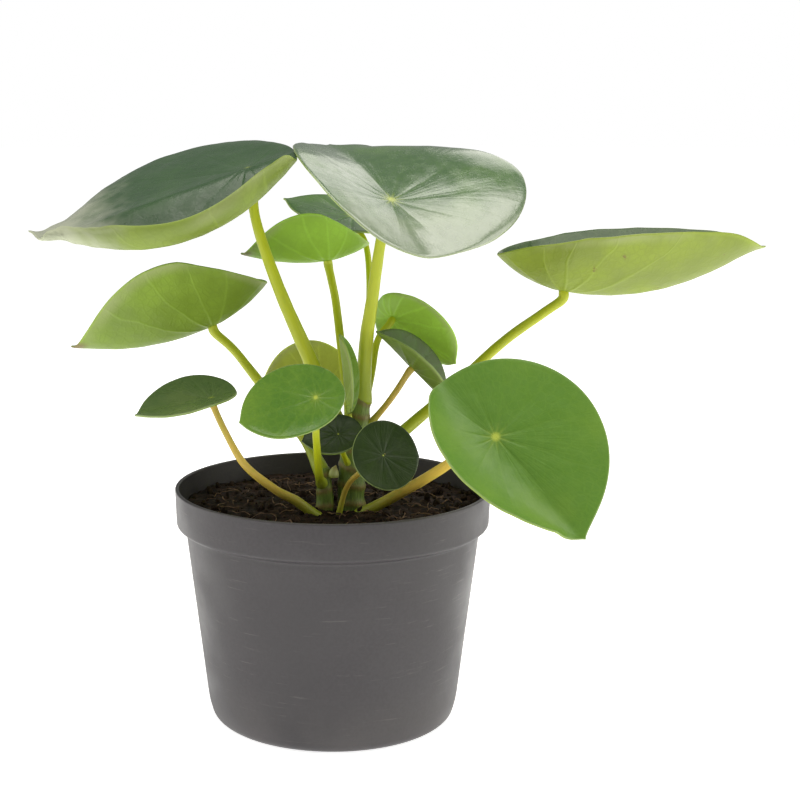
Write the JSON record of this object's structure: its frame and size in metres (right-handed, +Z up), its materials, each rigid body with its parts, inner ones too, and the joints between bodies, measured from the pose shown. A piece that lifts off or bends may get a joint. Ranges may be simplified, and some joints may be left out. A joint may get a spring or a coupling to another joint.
{
  "type": "potted chinese money plant",
  "caption": "Potted house plant with round, pointed leaves on long stalks that meet each blade from below, growing from soil in a tapered plastic nursery pot with a stepped rim.",
  "frame": {"origin": "centre of the pot's flat underside, on the surface that it stands on", "axes": "+Z up along the pot's axis, +X to the right along the plant's widest row of leaves, +Y to the back"},
  "size_m": [0.2737, 0.1607, 0.2186],
  "materials": {
    "pot": "satin",
    "soil": "matte",
    "stem": "satin",
    "bract": "satin",
    "leaf": "satin",
    "leaf_dark": "satin",
    "stalk": "satin",
    "stalk_amber": "satin"
  },
  "bodies": {
    "root": {"pot": "pot", "soil": "soil", "main_stem": "stem", "side_shoot": "stem", "bract": "bract", "upper_left": "leaf", "upper_left_stalk": "stalk", "crown": "leaf", "crown_stalk": "stalk", "back_centre": "leaf", "back_centre_stalk": "stalk", "back_high": "leaf", "back_high_stalk": "stalk", "mid_left": "leaf", "mid_left_stalk": "stalk", "low_left": "leaf", "low_left_stalk": "stalk_amber", "far_right": "leaf", "far_right_stalk": "stalk", "front_small": "leaf", "front_small_stalk": "stalk", "back_low": "leaf", "back_low_stalk": "stalk", "front_right": "leaf", "front_right_stalk": "stalk_amber", "mid_right": "leaf", "mid_right_stalk": "stalk", "mid_right_small": "leaf", "mid_right_small_stalk": "stalk_amber", "front_dark": "leaf_dark", "front_dark_stalk": "stalk_amber", "inner_dark": "leaf_dark", "inner_dark_stalk": "stalk", "young": "leaf", "young_stalk": "stalk"}
  },
  "joints": []
}
